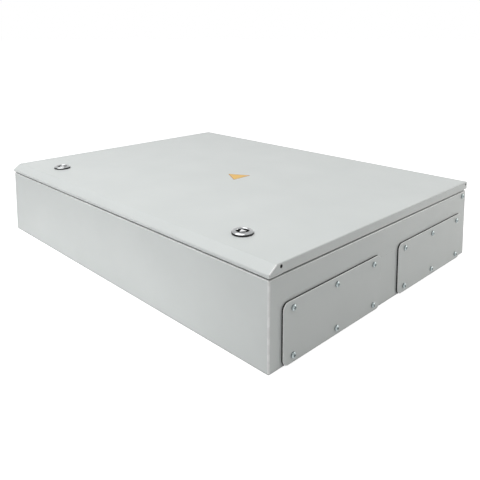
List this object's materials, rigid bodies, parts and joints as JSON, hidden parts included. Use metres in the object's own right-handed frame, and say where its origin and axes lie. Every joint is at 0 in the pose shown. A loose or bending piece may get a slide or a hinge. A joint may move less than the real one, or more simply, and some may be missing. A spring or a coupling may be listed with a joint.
{
  "type": "wall mounted electrical enclosure",
  "caption": "Flat grey steel wall enclosure lying on its back, with a bevelled hinged door, quarter turn locks and blank gland plates.",
  "frame": {"origin": "middle of the back's outer face", "axes": "+X towards the cable end with the gland plates, -Y towards the lock side, +Y towards the hinge side, +Z out of the door"},
  "size_m": [0.8077, 0.602, 0.1584],
  "materials": {
    "grey_paint": "fine texture powder coat, satin",
    "zinc": "bright zinc plate",
    "galvanised": "galvanised sheet, faint spangle",
    "chrome": "polished chrome on die casting",
    "seal_rubber": "matte black rubber",
    "seal_foam": "matte foamed polyurethane",
    "label_film": "blank amber film"
  },
  "bodies": {
    "enclosure": {"body_shell": "grey_paint", "gland_seal_1": "seal_rubber", "gland_seal_2": "seal_rubber", "gland_plate_1": "grey_paint", "gland_plate_2": "grey_paint", "gland_screws_1": "zinc", "gland_screws_2": "zinc", "gland_rivet_nuts_1": "zinc", "gland_rivet_nuts_2": "zinc", "earth_screw": "zinc", "earth_washer": "zinc", "earth_nut": "zinc", "mounting_studs": "zinc", "mounting_plate": "galvanised", "mounting_washers": "zinc", "mounting_nuts": "zinc", "body_earth_stud": "zinc", "body_earth_washer": "zinc", "body_earth_nut": "zinc", "hinge_body_leaf_1": "zinc", "hinge_body_leaf_2": "zinc", "hinge_pin_1": "zinc", "hinge_pin_2": "zinc", "hinge_screws": "zinc", "hinge_screw_nuts": "zinc"},
    "door": {"door_panel": "grey_paint", "door_seal": "seal_foam", "door_channel": "grey_paint", "door_label": "label_film", "door_earth_stud": "zinc", "door_earth_washer": "zinc", "door_earth_nut": "zinc", "hinge_door_leaf_1": "zinc", "hinge_door_leaf_2": "zinc", "hinge_door_studs": "zinc", "hinge_door_nuts": "zinc", "lock_housing_1": "chrome", "lock_housing_2": "chrome", "lock_washer_1": "seal_rubber", "lock_washer_2": "seal_rubber", "lock_nut_1": "zinc", "lock_nut_2": "zinc"},
    "lock_1": {"lock_core_1": "chrome", "lock_cam_1": "zinc", "lock_cam_bolt_1": "zinc"},
    "lock_2": {"lock_core_2": "chrome", "lock_cam_2": "zinc", "lock_cam_bolt_2": "zinc"}
  },
  "joints": [
    {"name": "door_hinge", "type": "hinge", "parent": "enclosure", "child": "door", "pos_m": [0, 0.2975, 0.1405], "axis": [-1, 0, 0], "range_deg": [0, 110]},
    {"name": "lock_1_turn", "type": "hinge", "parent": "door", "child": "lock_1", "pos_m": [0.288, -0.2375, 0.1305], "axis": [0, 0, 1], "range_deg": [0, 90]},
    {"name": "lock_2_turn", "type": "hinge", "parent": "door", "child": "lock_2", "pos_m": [-0.288, -0.2375, 0.1305], "axis": [0, 0, 1], "range_deg": [0, 90]}
  ]
}
